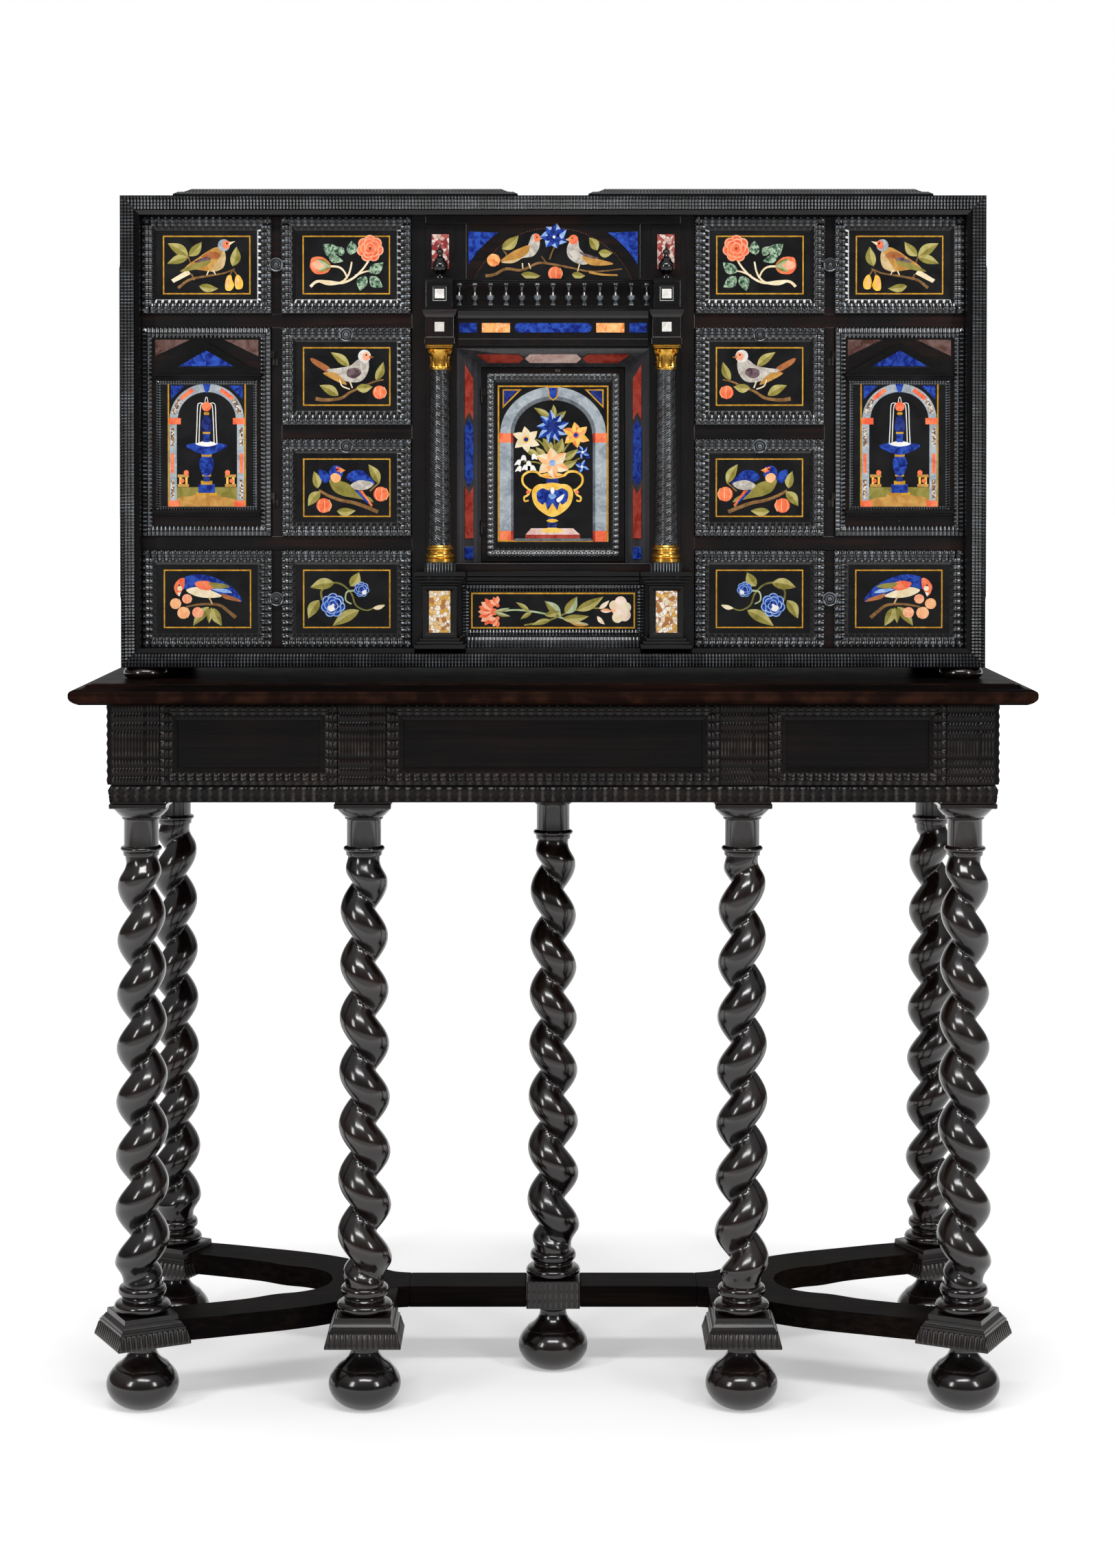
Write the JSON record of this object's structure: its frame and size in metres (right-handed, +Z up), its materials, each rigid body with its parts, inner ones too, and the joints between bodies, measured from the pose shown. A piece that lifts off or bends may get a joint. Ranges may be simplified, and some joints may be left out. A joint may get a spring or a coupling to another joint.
{
  "type": "cabinet on stand",
  "caption": "Ebony drawer cabinet with inlaid stone panels, a columned central niche and doors, on a stand of twist-turned legs with forked stretchers.",
  "frame": {"origin": "on the floor under the middle of the stand", "axes": "+Z up, the front faces -Y, +X to the right seen from the front"},
  "size_m": [1.204, 0.5, 1.553],
  "materials": {
    "ebony": "polished ebony veneer, worn brown at the edges",
    "ebonised": "black-stained turned wood, satin",
    "slate": "black stone slab with coloured stone inlay",
    "hardstone": "polished coloured stones",
    "gilt": "gilt metal mounts",
    "iron": "blackened iron"
  },
  "bodies": {
    "frame": {"stand_top": "ebonised", "frieze_rails": "ebonised", "frieze_mouldings": "ebonised", "leg_front_left": "ebonised", "leg_front_right": "ebonised", "leg_back_left": "ebonised", "leg_back_right": "ebonised", "leg_inner_left": "ebonised", "leg_inner_right": "ebonised", "leg_middle": "ebonised", "plinths": "ebonised", "bun_feet": "ebonised", "stretcher_left": "ebonised", "stretcher_right": "ebonised", "stretcher_bars": "ebonised", "case_feet": "ebony", "case_bottom": "ebony", "case_top": "ebony", "case_sides": "ebony", "case_back": "ebony", "case_frame": "ebony", "raised_panels": "ebony", "partitions": "ebony", "shelves": "ebony", "centre_boards": "ebony", "centre_walls": "ebony", "niche_reveals": "ebony", "pedestals": "ebony", "column_shafts": "ebony", "column_mounts": "gilt", "entablature": "ebony", "balustrade": "ebony", "attic": "ebony", "centre_stones": "hardstone", "hinge_pins": "iron"},
    "drawer_bottom_left": {"drawer_bottom_left": "ebony", "drawer_bottom_left_stone": "slate"},
    "drawer_lower_left": {"drawer_lower_left": "ebony", "drawer_lower_left_stone": "slate"},
    "drawer_upper_left": {"drawer_upper_left": "ebony", "drawer_upper_left_stone": "slate"},
    "drawer_top_left": {"drawer_top_left": "ebony", "drawer_top_left_stone": "slate"},
    "door_left": {"door_left": "ebony", "door_left_stone": "slate"},
    "drawer_bottom_right": {"drawer_bottom_right": "ebony", "drawer_bottom_right_stone": "slate"},
    "drawer_lower_right": {"drawer_lower_right": "ebony", "drawer_lower_right_stone": "slate"},
    "drawer_upper_right": {"drawer_upper_right": "ebony", "drawer_upper_right_stone": "slate"},
    "drawer_top_right": {"drawer_top_right": "ebony", "drawer_top_right_stone": "slate"},
    "door_right": {"door_right": "ebony", "door_right_stone": "slate"},
    "drawer_centre": {"drawer_centre": "ebony", "drawer_centre_stone": "slate"},
    "door_centre": {"door_centre": "ebony", "door_centre_stone": "slate"}
  },
  "joints": [
    {"name": "drawer_bottom_left_slide", "type": "slide", "parent": "frame", "child": "drawer_bottom_left", "axis": [0, -1, 0], "range_m": [0, 0.24]},
    {"name": "drawer_lower_left_slide", "type": "slide", "parent": "frame", "child": "drawer_lower_left", "axis": [0, -1, 0], "range_m": [0, 0.24]},
    {"name": "drawer_upper_left_slide", "type": "slide", "parent": "frame", "child": "drawer_upper_left", "axis": [0, -1, 0], "range_m": [0, 0.24]},
    {"name": "drawer_top_left_slide", "type": "slide", "parent": "frame", "child": "drawer_top_left", "axis": [0, -1, 0], "range_m": [0, 0.24]},
    {"name": "door_left_hinge", "type": "hinge", "parent": "frame", "child": "door_left", "pos_m": [-0.3576, -0.1283, 1.10733], "axis": [0, 0, 1], "range_deg": [0, 90]},
    {"name": "drawer_bottom_right_slide", "type": "slide", "parent": "frame", "child": "drawer_bottom_right", "axis": [0, -1, 0], "range_m": [0, 0.24]},
    {"name": "drawer_lower_right_slide", "type": "slide", "parent": "frame", "child": "drawer_lower_right", "axis": [0, -1, 0], "range_m": [0, 0.24]},
    {"name": "drawer_upper_right_slide", "type": "slide", "parent": "frame", "child": "drawer_upper_right", "axis": [0, -1, 0], "range_m": [0, 0.24]},
    {"name": "drawer_top_right_slide", "type": "slide", "parent": "frame", "child": "drawer_top_right", "axis": [0, -1, 0], "range_m": [0, 0.24]},
    {"name": "door_right_hinge", "type": "hinge", "parent": "frame", "child": "door_right", "pos_m": [0.3576, -0.1283, 1.10733], "axis": [0, 0, -1], "range_deg": [0, 90]},
    {"name": "drawer_centre_slide", "type": "slide", "parent": "frame", "child": "drawer_centre", "axis": [0, -1, 0], "range_m": [0, 0.24]},
    {"name": "door_centre_hinge", "type": "hinge", "parent": "frame", "child": "door_centre", "pos_m": [-0.0926, -0.0925, 1.073], "axis": [0, 0, -1], "range_deg": [0, 95]}
  ]
}
